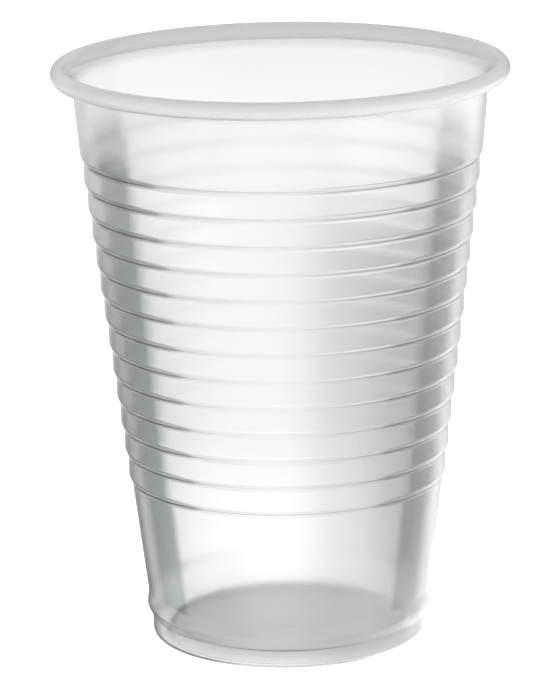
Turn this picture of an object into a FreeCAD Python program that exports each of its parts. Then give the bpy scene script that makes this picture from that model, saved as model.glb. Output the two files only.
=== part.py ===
import FreeCAD, Part
import math
import os

# Plastic disposable cup: one thin sheet, formed in one piece and turned about the upright axis.
# Millimetres. The origin is the centre of the ring that the cup rests on, with +Z up.
# The section is a chain of straight runs. Each run turns into a cone, a cylinder or a flat ring,
# and a round stretch, such as the roll, is a few equal runs along its arc.

UP = FreeCAD.Vector(0, 0, 1)

# Overall sizes
HEIGHT = 92.7
RIM_RADIUS = 36.0
WALL = 0.25

# Rolled rim, measured on the skin that faces up and outwards
ROLL_RADIUS = 1.4
ROLL_START = math.radians(135)
ROLL_TURN = math.radians(225)
ROLL_RUNS = 5
ROLL_RUNS_HIDDEN = 3
FLARE_RADIUS = 4.4

# Ringed wall: a stack of upright bands, each wider than the one below by a sloping step.
# The steps are spread evenly from the lowest one to the plain band under the rim.
STEP_COUNT = 13
STEP_HEIGHT = 1.2
LOWEST_STEP = 26.1
TOP_BAND = 14.64
STEP_PITCH = (HEIGHT - TOP_BAND - LOWEST_STEP) / (STEP_COUNT - 1)

# Hip, where the wall swells before it draws in to the foot
HIP_TOP = 7.2
HIP_RADIUS = 22.5
HIP_NOSE = 5.0
HIP_SWELL = 0.55

# Foot and raised floor
FOOT_TOP = 3.3
FOOT_RADIUS = 21.9
FOOT_ROUNDING = 1.6
FOOT_RUNS = 1
REST_WIDTH = 0.8
RISER_WIDTH = 1.0
FLOOR_RISE = 1.8

# Facets are kept few: a cone taller than the first height is a ruled surface,
# and one taller than the second is cut into equal parts
RULED_HEIGHT = 1.5
TALLEST_RUN = 11.0
LEAST_SLANT = 0.01


def at(radius, height):
    return FreeCAD.Vector(radius, 0, height)


def round_points(centre, radius, start, turn, runs):
    """Ends of equal straight runs along an arc, with angles taken from the outward direction."""
    angles = [start + turn * run / runs for run in range(runs + 1)]
    return [centre + at(math.cos(angle), math.sin(angle)) * radius for angle in angles]


def roll_centre():
    return at(RIM_RADIUS - ROLL_RADIUS, HEIGHT - ROLL_RADIUS)


def roll_points(depth, runs):
    """The roll, on the skin that lies this deep under the one that faces up."""
    return round_points(roll_centre(), ROLL_RADIUS - depth, ROLL_START, -ROLL_TURN, runs)


def flare_centre():
    """The flare runs smoothly into the roll, so both centres lie on one line through that point."""
    outwards = at(math.cos(ROLL_START), math.sin(ROLL_START))
    return roll_centre() - outwards * (FLARE_RADIUS - ROLL_RADIUS)


def flare_touch(start):
    """Where a line of the outer skin from this point first touches the round of the flare."""
    radius = FLARE_RADIUS - WALL
    reach = start - flare_centre()
    angle = math.atan2(reach.z, reach.x) - math.acos(radius / reach.Length)
    return flare_centre() + at(math.cos(angle), math.sin(angle)) * radius


def cone_radius(height):
    """Radius of the plain cone, from the hip to the flare, that the head of each band lies on."""
    hip = at(HIP_RADIUS, HIP_TOP)
    way = flare_touch(hip) - hip
    return HIP_RADIUS + (height - HIP_TOP) * way.x / way.z


def foot_points():
    """Under the floor, down to the ring that the cup rests on and round the foot."""
    bend = at(FOOT_RADIUS - FOOT_ROUNDING, FOOT_ROUNDING)
    rest = bend.x - REST_WIDTH
    under = [at(0, FLOOR_RISE), at(rest - RISER_WIDTH, FLOOR_RISE), at(rest, 0)]
    rounding = round_points(bend, FOOT_ROUNDING, -math.pi / 2, math.pi / 2, FOOT_RUNS)
    return under + rounding + [at(FOOT_RADIUS, FOOT_TOP)]


def hip_points():
    return [at(cone_radius(HIP_NOSE) + HIP_SWELL, HIP_NOSE), at(HIP_RADIUS, HIP_TOP)]


def step_points():
    """Foot and head of every sloping step. The upright bands lie between them."""
    points = []
    for step in range(STEP_COUNT):
        foot = LOWEST_STEP + step * STEP_PITCH - STEP_HEIGHT / 2
        points.append(at(cone_radius(foot), foot))
        points.append(at(cone_radius(foot + STEP_PITCH), foot + STEP_HEIGHT))
    return points


def moved_in(points):
    """The same runs moved into the cup by the wall, and met again at their corners."""
    sides = []
    for start, end in zip(points, points[1:]):
        way = (end - start).normalize()
        sides.append(at(-way.z, way.x))
    before = sides[:1] + sides
    after = sides + sides[-1:]
    return [p + (a + b) * (WALL / (1 + a.dot(b))) for p, a, b in zip(points, before, after)]


def divided(points):
    """The same line, with each run that is too tall cut into equal parts."""
    line = points[:1]
    for start, end in zip(points, points[1:]):
        parts = max(1, math.ceil(abs(end.z - start.z) / TALLEST_RUN))
        line += [start + (end - start) * part / parts for part in range(1, parts + 1)]
    return line


def outer_skin():
    """From the axis, under the floor and up the ringed wall, to the sheet's edge in the roll."""
    points = foot_points() + hip_points() + step_points()
    points.append(flare_touch(points[-1]))
    return divided(points) + roll_points(WALL, ROLL_RUNS_HIDDEN)


def inner_skin():
    """From the axis, over the floor and up a plain cone, to the same edge round the roll."""
    points = foot_points() + hip_points()
    points.append(flare_touch(points[-1]))
    return divided(moved_in(points)) + roll_points(0, ROLL_RUNS)


def circle_through(point):
    return Part.Circle(at(0, point.z), UP, point.x).toShape()


def turned_run(start, end):
    """The surface that one straight run of the section makes about the axis."""
    slanted = abs(end.x - start.x) > LEAST_SLANT
    if slanted and abs(end.z - start.z) > RULED_HEIGHT:
        return Part.makeRuledSurface(circle_through(start), circle_through(end))
    return Part.LineSegment(start, end).toShape().revolve(at(0, 0), UP, 360)


def cup():
    section = outer_skin() + inner_skin()[::-1]
    shell = Part.makeShell([turned_run(start, end) for start, end in zip(section, section[1:])])
    shell.sewShape()
    return Part.makeSolid(shell)


os.makedirs("parts", exist_ok=True)
cup().exportStep("parts/cup.step")
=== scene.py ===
import math

import bmesh
import bpy
from mathutils import Euler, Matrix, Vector


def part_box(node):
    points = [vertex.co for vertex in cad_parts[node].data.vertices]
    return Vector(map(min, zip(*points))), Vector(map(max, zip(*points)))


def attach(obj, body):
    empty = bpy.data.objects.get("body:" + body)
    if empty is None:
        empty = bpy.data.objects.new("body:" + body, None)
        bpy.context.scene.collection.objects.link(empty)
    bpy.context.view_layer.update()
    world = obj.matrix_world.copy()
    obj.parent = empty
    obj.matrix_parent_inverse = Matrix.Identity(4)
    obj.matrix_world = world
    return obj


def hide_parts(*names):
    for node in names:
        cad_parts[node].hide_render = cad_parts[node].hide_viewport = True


# Clear plastic disposable cup on a pale floor. Metres, with +Z up, in the solid's own frame.
# The cup is one thin sheet turned about the upright axis. Its outer skin is drawn from the axis
# to the sheet's edge in the rolled rim, and the inner skin lies one wall further in.

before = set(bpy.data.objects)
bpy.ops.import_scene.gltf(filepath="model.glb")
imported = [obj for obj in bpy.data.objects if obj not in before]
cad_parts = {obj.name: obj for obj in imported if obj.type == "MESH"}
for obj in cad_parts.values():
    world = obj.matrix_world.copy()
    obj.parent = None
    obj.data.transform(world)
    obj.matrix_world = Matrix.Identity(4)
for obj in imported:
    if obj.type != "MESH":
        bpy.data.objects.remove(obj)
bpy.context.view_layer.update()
LOWEST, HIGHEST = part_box("cup")

# Overall sizes, from the solid
HEIGHT = HIGHEST.z - LOWEST.z
RIM_RADIUS = (HIGHEST.x - LOWEST.x) / 2
WALL = 0.00025

# Rolled rim, measured on the skin that faces up and outwards
ROLL_RADIUS = 0.0014
ROLL_START = math.radians(135)
ROLL_TURN = math.radians(225)
FLARE_RADIUS = 0.0044

# Ringed wall: a stack of upright bands, each wider than the one below by a sloping step
STEP_COUNT = 13
STEP_HEIGHT = 0.0012
LOWEST_STEP = 0.0261
TOP_BAND = 0.01464
STEP_PITCH = (HEIGHT - TOP_BAND - LOWEST_STEP) / (STEP_COUNT - 1)
STEP_ROUNDING = 0.0006

# Dip in the sheet's thickness on each sloping step: its share of the wall and its reach each way
DIP_DEPTH = 0.24
DIP_REACH = 0.0003
DIP_RUNS = 3

# Hip, foot and raised floor
HIP_TOP = 0.0072
HIP_RADIUS = 0.0225
HIP_NOSE = 0.005
HIP_SWELL = 0.00055
HIP_ROUNDING = 0.0012
FOOT_TOP = 0.0033
FOOT_RADIUS = 0.0219
FOOT_ROUNDING = 0.0016
REST_WIDTH = 0.0008
RISER_WIDTH = 0.001
FLOOR_RISE = 0.0018
FLOOR_ROUNDING = 0.0004
MIDDLE_OF_FLOOR = 0.006

# Mesh: a rounding takes at most this share of a run, and a point this near the axis is one vertex
SEGMENTS = 180
ARC_STEP = math.radians(14)
LARGEST_CORNER_SHARE = 0.49
ON_AXIS = 1e-7
BAND_WEIGHT = 80

# Light table: its own glow, its pale surface, and the pool of light round the cup
TABLE_SIZE = 12
TABLE_ROUGHNESS = 0.9
TABLE_SPECULAR = 0.1
TABLE_COLOUR = 0.75
GLOW = 0.85
POOL_EDGE = (0.4, 1.1)
POOL_OUTSIDE = 0.5
WHITE = (1, 1, 1, 1)

# What the clear sheet passes on of the table, painted dimmer than the camera sees it: a grey patch of
# painted shade on the right and a painted brighter spot
PAINTED_PATCH_REACH = (0.28, 0.34)
RIGHT_PAINTED_SHADE_EDGE = (0.001, 0.021)
RIGHT_PAINTED_SHADE_END = (0.06, 0.09)
RIGHT_PAINTED_SHADE_LEVEL = 0.28
PASSED_LEVEL = 0.73
PAINTED_SPOT_EDGE = (0.05, 0.12)
PAINTED_SPOT_LEVEL = 1.22

# What it reflects of the table, painted dimmer than the camera sees it: a dark patch of painted shade
# on the left and a bright painted reflection on the right.
# Their edges are x as a share of the distance from the cup.
LEFT_PAINTED_SHADE_EDGE = (-0.35, -0.6)
LEFT_PAINTED_SHADE_LEVEL = 0.2
RIGHT_PAINTED_REFLECTION_EDGE = (0.45, 0.75)
RIGHT_PAINTED_REFLECTION_LEVEL = 1.2
REFLECTED_LEVEL = 0.6

# Surroundings: white to the camera, and dimmer at the horizon in what the clear sheet shows
WORLD_STRENGTH = 0.82
SEEN_LEVEL = 1.2
HORIZON_LEVEL = 0.55
SKY_EDGE = (0.0, 0.3)

# Plastic: clear in the wall and milky in the roll. The change starts HAZY_RIM below the top.
PLASTIC_IOR = 1.55
CLEAR_WALL = 0.985
CLEAR_RIM = 0.45
HAZY_RIM = 0.004
RIM_COLOUR_SHARE = 0.98
WALL_COLOUR = (0.965, 0.977, 0.983, 1)

# Faint unevenness: noise in the roughness, and a ripple that bends the surface
ROUGHNESS = (0.06, 0.16)
ROUGHNESS_SCALE = 60
ROUGHNESS_DETAIL = 4
RIPPLE_SCALE = 80
RIPPLE_DETAIL = 2
RIPPLE_HEIGHT = 0.0003
RIPPLE_STRENGTH = 0.15

# Painted shade on the body by the angle of view: stops (angle, level) from face-on to grazing.
# The low levels paint a dark strip of shade near each side. The hue is a power of the level in each
# channel.
FACING_BLEND = 0.5
SIDE_PAINTED_SHADE = ((0.1, 0.97), (0.23, 0.9), (0.37, 0.8), (0.41, 0.36), (0.58, 0.34), (0.72, 0.85))
SIDE_PAINTED_SHADE_HUE = (1.07, 1.0, 1.01)

# Heights between which that painted shade comes in above the foot and weakens at the plain top band
PAINTED_SHADE_BOTTOM = (0.004, 0.008)
PAINTED_SHADE_TOP = (0.079, 0.083)
PAINTED_SHADE_SHARE_ABOVE = 0.12

# Raised floor, within this distance of the origin, painted darker than the wall as shade
PAINTED_FLOOR_SHADE_EDGE = (0.0186, 0.0196)
PAINTED_FLOOR_SHADE_SHARE = 0.68

# Camera, placed where the photograph was taken from
CAMERA_PLACE = (-0.0011, -0.6857, 0.2191)
CAMERA_PITCH = math.radians(14.1)
CAMERA_ROLL = math.radians(1.025)
CAMERA_LENS = 232.6
CAMERA_SENSOR = 36.0


def at(radius, height):
    return Vector((radius, 0, height))


def towards(angle):
    return at(math.cos(angle), math.sin(angle))


def short_way(turn):
    """The same turn taken the short way round."""
    return (turn + math.pi) % (2 * math.pi) - math.pi


def arc(centre, radius, start, turn):
    """Points along an arc of the section, with angles taken from the outward direction."""
    runs = max(2, math.ceil(abs(turn) / ARC_STEP))
    return [centre + towards(start + turn * run / runs) * radius for run in range(runs + 1)]


def rounded_corner(before, corner, after, rounding):
    """The arc that rounds one corner of the section."""
    back = (before - corner).normalized()
    onwards = (after - corner).normalized()
    half = back.angle(onwards) / 2
    shorter = min((before - corner).length, (after - corner).length)
    reach = min(rounding / math.tan(half), shorter * LARGEST_CORNER_SHARE)
    radius = reach * math.tan(half)
    centre = corner + (back + onwards).normalized() * (radius / math.sin(half))
    first = corner + back * reach - centre
    last = corner + onwards * reach - centre
    start = math.atan2(first.z, first.x)
    return arc(centre, radius, start, short_way(math.atan2(last.z, last.x) - start))


def rounded(corners):
    """A line through the corners (point, rounding), with each inner corner rounded."""
    line = [corners[0][0]]
    for before, corner, after in zip(corners, corners[1:], corners[2:]):
        if corner[1]:
            line += rounded_corner(before[0], corner[0], after[0], corner[1])
        else:
            line.append(corner[0])
    return line + [corners[-1][0]]


def roll_centre():
    return at(RIM_RADIUS - ROLL_RADIUS, HEIGHT - ROLL_RADIUS)


def flare_centre():
    """The flare runs smoothly into the roll, so both centres lie on one line through that point."""
    return roll_centre() - towards(ROLL_START) * (FLARE_RADIUS - ROLL_RADIUS)


def flare_touch_angle(start):
    """Where a line of the outer skin from this point first touches the round of the flare."""
    reach = start - flare_centre()
    return math.atan2(reach.z, reach.x) - math.acos((FLARE_RADIUS - WALL) / reach.length)


def flare_touch(start):
    return flare_centre() + towards(flare_touch_angle(start)) * (FLARE_RADIUS - WALL)


def cone_radius(height):
    """Radius of the plain cone that the head of each band lies on."""
    hip = at(HIP_RADIUS, HIP_TOP)
    way = flare_touch(hip) - hip
    return HIP_RADIUS + (height - HIP_TOP) * way.x / way.z


def foot_corners():
    """Under the floor, down to the ring that the cup rests on and round the foot."""
    bend = FOOT_RADIUS - FOOT_ROUNDING
    rest = bend - REST_WIDTH
    return [
        (at(0, FLOOR_RISE), 0),
        (at(MIDDLE_OF_FLOOR, FLOOR_RISE), 0),
        (at(rest - RISER_WIDTH, FLOOR_RISE), FLOOR_ROUNDING),
        (at(rest, 0), FLOOR_ROUNDING),
        (at(FOOT_RADIUS, 0), FOOT_ROUNDING),
        (at(FOOT_RADIUS, FOOT_TOP), STEP_ROUNDING),
    ]


def hip_corners():
    nose = at(cone_radius(HIP_NOSE) + HIP_SWELL, HIP_NOSE)
    return [(nose, HIP_ROUNDING), (at(HIP_RADIUS, HIP_TOP), HIP_ROUNDING)]


def step_corners():
    """Foot, dip and head of every sloping step. The upright bands lie between them."""
    corners = []
    for step in range(STEP_COUNT):
        bottom = LOWEST_STEP + step * STEP_PITCH - STEP_HEIGHT / 2
        foot = at(cone_radius(bottom), bottom)
        head = at(cone_radius(bottom + STEP_PITCH), bottom + STEP_HEIGHT)
        corners.append((foot, STEP_ROUNDING))
        for run in range(-DIP_RUNS, DIP_RUNS + 1):
            share = 0.5 + run / DIP_RUNS * DIP_REACH / STEP_HEIGHT
            corners.append((foot.lerp(head, share), 0))
        corners.append((head, STEP_ROUNDING))
    return corners


def outer_skin():
    """From the axis, under the floor and up the ringed wall, to the sheet's edge in the roll."""
    corners = foot_corners() + hip_corners() + step_corners()
    last = corners[-1][0]
    touch = flare_touch_angle(last)
    wall = rounded(corners + [(flare_touch(last), 0)])
    flare = arc(flare_centre(), FLARE_RADIUS - WALL, touch, short_way(ROLL_START - touch))
    roll = arc(roll_centre(), ROLL_RADIUS - WALL, ROLL_START, -ROLL_TURN)
    return wall[:-1] + flare[:-1] + roll


def left_of(line):
    """Unit vectors to the left of the line at each of its points."""
    sides = []
    for start, end in zip(line, line[1:]):
        way = (end - start).normalized()
        sides.append(at(-way.z, way.x))
    before = sides[:1] + sides
    after = sides + sides[-1:]
    return [(a + b).normalized() for a, b in zip(before, after)]


def wall_at(height):
    """The sheet's thickness, which dips smoothly in the middle of each sloping step."""
    if not LOWEST_STEP - STEP_HEIGHT < height < HEIGHT - TOP_BAND + STEP_HEIGHT:
        return WALL
    away = abs((height - LOWEST_STEP + STEP_PITCH / 2) % STEP_PITCH - STEP_PITCH / 2)
    share = max(0, 1 - away / DIP_REACH)
    return WALL * (1 - DIP_DEPTH * share * share * (3 - 2 * share))


def section():
    """The closed outline of the sheet: out along the outer skin and back along the inner one."""
    outer = outer_skin()
    sides = left_of(outer)
    inner = [p + side * wall_at(p.z) for p, side in zip(outer, sides)]
    edge = (outer[-1] + inner[-1]) / 2
    start = outer[-1] - edge
    rounding = arc(edge, WALL / 2, math.atan2(start.z, start.x), math.pi)
    return outer[:-1] + rounding + inner[-2::-1]


def turned(name, line):
    """A closed mesh made by turning a line, which starts and ends on the axis, about it."""
    mesh = bmesh.new()
    rings = []
    for point in line:
        if point.x < ON_AXIS:
            rings.append([mesh.verts.new(point)])
            continue
        ring = []
        for segment in range(SEGMENTS):
            angle = 2 * math.pi * segment / SEGMENTS
            place = (point.x * math.cos(angle), point.x * math.sin(angle), point.z)
            ring.append(mesh.verts.new(place))
        rings.append(ring)
    for lower, upper in zip(rings, rings[1:]):
        for segment in range(SEGMENTS):
            after = (segment + 1) % SEGMENTS
            if len(lower) == 1:
                corners = (lower[0], upper[after], upper[segment])
            elif len(upper) == 1:
                corners = (lower[segment], lower[after], upper[0])
            else:
                corners = (lower[segment], lower[after], upper[after], upper[segment])
            mesh.faces.new(corners)
    for face in mesh.faces:
        face.smooth = True
    data = bpy.data.meshes.new(name)
    mesh.to_mesh(data)
    mesh.free()
    piece = bpy.data.objects.new(name, data)
    bpy.context.scene.collection.objects.link(piece)
    return piece


def new_material(name):
    material = bpy.data.materials.new(name)
    material.use_nodes = True
    tree = material.node_tree
    return material, Shader(tree), tree.nodes["Principled BSDF"]


class Shader:
    """A node tree with short calls for the nodes that the materials and the light are made of."""

    def __init__(self, tree):
        self.nodes = tree.nodes
        self.links = tree.links

    def add(self, kind):
        return self.nodes.new("ShaderNode" + kind)

    def plug(self, socket, value):
        """Sets a socket to a number or colour, or links another node's output to it."""
        if isinstance(value, bpy.types.NodeSocket):
            self.links.new(value, socket)
        else:
            socket.default_value = value

    def ramp(self, value, source, target):
        """Runs from the first target to the second while the value runs over the source."""
        node = self.add("MapRange")
        node.inputs["From Min"].default_value, node.inputs["From Max"].default_value = source
        node.inputs["To Min"].default_value, node.inputs["To Max"].default_value = target
        self.plug(node.inputs["Value"], value)
        return node.outputs["Result"]

    def math(self, operation, first, second):
        node = self.add("Math")
        node.operation = operation
        self.plug(node.inputs[0], first)
        self.plug(node.inputs[1], second)
        return node.outputs["Value"]

    def mix(self, share, first, second):
        node = self.add("Mix")
        self.plug(node.inputs["Factor"], share)
        self.plug(node.inputs["A"], first)
        self.plug(node.inputs["B"], second)
        return node.outputs["Result"]

    def mix_colour(self, share, first, second):
        node = self.add("MixRGB")
        self.plug(node.inputs["Fac"], share)
        self.plug(node.inputs["Color1"], first)
        self.plug(node.inputs["Color2"], second)
        return node.outputs["Color"]

    def greys(self, value, stops, hue):
        """A grey that runs through the stops (value, level), with the hue as powers of the level."""
        node = self.add("ValToRGB")
        elements = node.color_ramp.elements
        while len(elements) < len(stops):
            elements.new(1.0)
        for element, (position, level) in zip(elements, stops):
            element.position = position
            element.color = [level ** power for power in hue] + [1]
        self.plug(node.inputs["Fac"], value)
        return node.outputs["Color"]

    def noise(self, point, scale, detail):
        node = self.add("TexNoise")
        node.inputs["Scale"].default_value = scale
        node.inputs["Detail"].default_value = detail
        self.plug(node.inputs["Vector"], point)
        return node.outputs["Fac"]

    def length(self, vector):
        node = self.add("VectorMath")
        node.operation = "LENGTH"
        self.plug(node.inputs[0], vector)
        return node.outputs["Value"]

    def place(self, kind="Object"):
        """The point's own place, and its parts along the three axes."""
        point = self.add("TexCoord").outputs[kind]
        parts = self.add("SeparateXYZ")
        self.plug(parts.inputs["Vector"], point)
        return point, parts.outputs["X"], parts.outputs["Y"], parts.outputs["Z"]

    def plain_light(self):
        """1 for what the camera sees directly and for light that a rough surface spreads, else 0."""
        path = self.add("LightPath")
        seen = self.math("MAXIMUM", path.outputs["Is Camera Ray"], path.outputs["Diffuse Depth"])
        return self.math("MINIMUM", seen, 1.0)

    def reflected(self):
        """1 for what is seen as a reflection, else 0."""
        return self.math("MINIMUM", self.add("LightPath").outputs["Glossy Depth"], 1.0)


def ripple(shader, point):
    """The surface's direction, bent a little by a wide ripple."""
    bump = shader.add("Bump")
    bump.inputs["Strength"].default_value = RIPPLE_STRENGTH
    bump.inputs["Distance"].default_value = RIPPLE_HEIGHT
    shader.plug(bump.inputs["Height"], shader.noise(point, RIPPLE_SCALE, RIPPLE_DETAIL))
    return bump.outputs["Normal"]


def wall_colour_and_painted_shade(shader, height):
    """The wall's colour, with a painted dark strip of shade near each side of the body."""
    edge = shader.add("LayerWeight")
    edge.inputs["Blend"].default_value = FACING_BLEND
    # Painted shade: the dark strip near each side, by the angle of view.
    side = shader.greys(edge.outputs["Facing"], SIDE_PAINTED_SHADE, SIDE_PAINTED_SHADE_HUE)
    body = shader.math("MULTIPLY", shader.ramp(height, PAINTED_SHADE_BOTTOM, (0.0, 1.0)),
                       shader.ramp(height, PAINTED_SHADE_TOP, (1.0, PAINTED_SHADE_SHARE_ABOVE)))
    return shader.mix_colour(body, WALL_COLOUR, side)


def plastic():
    """Thin clear plastic, with a milky roll, a floor painted darker as shade and a painted dark strip
    of shade near each side.
    """
    material, shader, sheet = new_material("clear_plastic")
    sheet.inputs["IOR"].default_value = PLASTIC_IOR
    point, _, _, height = shader.place()
    roll = (HEIGHT - HAZY_RIM, HEIGHT - ROLL_RADIUS)
    shader.plug(sheet.inputs["Transmission Weight"], shader.ramp(height, roll, (CLEAR_WALL, CLEAR_RIM)))
    uneven = shader.noise(point, ROUGHNESS_SCALE, ROUGHNESS_DETAIL)
    shader.plug(sheet.inputs["Roughness"], shader.ramp(uneven, (0.0, 1.0), ROUGHNESS))
    shader.plug(sheet.inputs["Normal"], ripple(shader, point))
    # The roll's own slightly darker tone, and painted shade on the raised floor.
    rim_tone_and_painted_floor_shade = shader.math("MULTIPLY", shader.ramp(height, roll, (1.0, RIM_COLOUR_SHARE)),
                        shader.ramp(shader.length(point), PAINTED_FLOOR_SHADE_EDGE, (PAINTED_FLOOR_SHADE_SHARE, 1.0)))
    toned_with_painted_shade = shader.add("HueSaturation")
    shader.plug(toned_with_painted_shade.inputs["Value"], rim_tone_and_painted_floor_shade)
    shader.plug(toned_with_painted_shade.inputs["Color"], wall_colour_and_painted_shade(shader, height))
    shader.plug(sheet.inputs["Base Color"], toned_with_painted_shade.outputs["Color"])
    return material


def painted_patch(shader, x, near, edge, level_beyond, level_before):
    """The level of a painted patch beyond this edge of x, where it is near, and of the table elsewhere.
    A lower level is painted shade and a higher one painted light.
    """
    beyond = shader.ramp(x, edge, (0.0, 1.0))
    return shader.mix(near, level_before, shader.mix(beyond, level_before, level_beyond))


def passed_table(shader, x, distance, near):
    """How bright the table looks in what the clear sheet passes on, with a patch of painted shade on
    the right and a painted bright spot.
    """
    # Painted shade: a grey patch on the table to the right of the cup, seen only through the sheet.
    in_painted_shade = shader.math("MULTIPLY", near, shader.ramp(x, RIGHT_PAINTED_SHADE_END, (1.0, 0.0)))
    level = painted_patch(shader, x, in_painted_shade, RIGHT_PAINTED_SHADE_EDGE, RIGHT_PAINTED_SHADE_LEVEL, PASSED_LEVEL)
    # Painted light: a brighter spot on the table round the cup.
    return shader.math("MULTIPLY", level, shader.ramp(distance, PAINTED_SPOT_EDGE, (PAINTED_SPOT_LEVEL, 1.0)))


def reflected_table(shader, x, distance, near):
    """How bright the table looks in what the clear sheet reflects, with a patch of painted shade on the
    left and a painted bright reflection on the right.
    """
    side = shader.math("DIVIDE", x, distance)
    # Painted shade: a dark patch on the table to the left, seen only in reflections.
    level = painted_patch(shader, side, near, LEFT_PAINTED_SHADE_EDGE, LEFT_PAINTED_SHADE_LEVEL, REFLECTED_LEVEL)
    # Painted reflection: a bright patch on the table to the right, seen only in reflections.
    return painted_patch(shader, side, 1.0, RIGHT_PAINTED_REFLECTION_EDGE, RIGHT_PAINTED_REFLECTION_LEVEL, level)


def floor_material():
    """A pale light table, evenly white to the camera and to the light that it spreads.

    The clear sheet alone shows the painted patches of shade and light and the painted pool of light.
    """
    material, shader, table = new_material("pale_floor")
    table.inputs["Roughness"].default_value = TABLE_ROUGHNESS
    table.inputs["Specular IOR Level"].default_value = TABLE_SPECULAR
    table.inputs["Emission Color"].default_value = WHITE
    point, x, _, _ = shader.place()
    distance = shader.length(point)
    # The painted patches of shade and light reach only this far from the cup.
    near = shader.ramp(distance, PAINTED_PATCH_REACH, (1.0, 0.0))
    passed = passed_table(shader, x, distance, near)
    reflected = reflected_table(shader, x, distance, near)
    level = shader.mix(shader.reflected(), passed, reflected)
    # Painted pool of light round the cup, seen only in the sheet.
    pool = shader.ramp(distance, POOL_EDGE, (1.0, POOL_OUTSIDE))
    level = shader.math("MULTIPLY", level, pool)
    level = shader.mix(shader.plain_light(), level, 1.0)
    shader.plug(table.inputs["Base Color"], shader.math("MULTIPLY", level, TABLE_COLOUR))
    shader.plug(table.inputs["Emission Strength"], shader.math("MULTIPLY", level, GLOW))
    return material


def add_floor():
    bpy.ops.mesh.primitive_plane_add(size=TABLE_SIZE, location=(0, 0, 0))
    floor = bpy.context.object
    floor.name = "floor"
    floor.data.materials.append(floor_material())


def add_cup():
    """The sheet, with smooth normals that follow its larger faces."""
    cup = turned("cup_sheet", section())
    normals = cup.modifiers.new("normals", "WEIGHTED_NORMAL")
    normals.mode = "FACE_AREA"
    normals.weight = BAND_WEIGHT
    cup.data.materials.append(plastic())
    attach(cup, "root")
    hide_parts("cup")


def add_camera():
    data = bpy.data.cameras.new("camera")
    data.sensor_fit = "VERTICAL"
    data.sensor_height = CAMERA_SENSOR
    data.lens = CAMERA_LENS
    camera = bpy.data.objects.new("camera", data)
    bpy.context.scene.collection.objects.link(camera)
    camera.location = CAMERA_PLACE
    tilt = Euler((math.pi / 2 - CAMERA_PITCH, 0, 0)).to_matrix()
    roll = Euler((0, 0, -CAMERA_ROLL)).to_matrix()
    camera.rotation_euler = (tilt @ roll).to_euler()
    bpy.context.scene.camera = camera


def add_light():
    """Soft light from all round, with no lamps."""
    world = bpy.data.worlds.new("studio")
    bpy.context.scene.world = world
    world.use_nodes = True
    shader = Shader(world.node_tree)
    background = world.node_tree.nodes["Background"]
    background.inputs["Color"].default_value = WHITE
    _, _, _, rise = shader.place("Generated")
    sky = shader.ramp(rise, SKY_EDGE, (HORIZON_LEVEL, 1.0))
    level = shader.mix(shader.plain_light(), sky, 1.0)
    level = shader.math("MULTIPLY", level, WORLD_STRENGTH)
    level = shader.mix(shader.add("LightPath").outputs["Is Camera Ray"], level, SEEN_LEVEL)
    shader.plug(background.inputs["Strength"], level)
    bpy.context.scene.view_settings.view_transform = "Standard"


add_camera()
add_light()
add_floor()
add_cup()
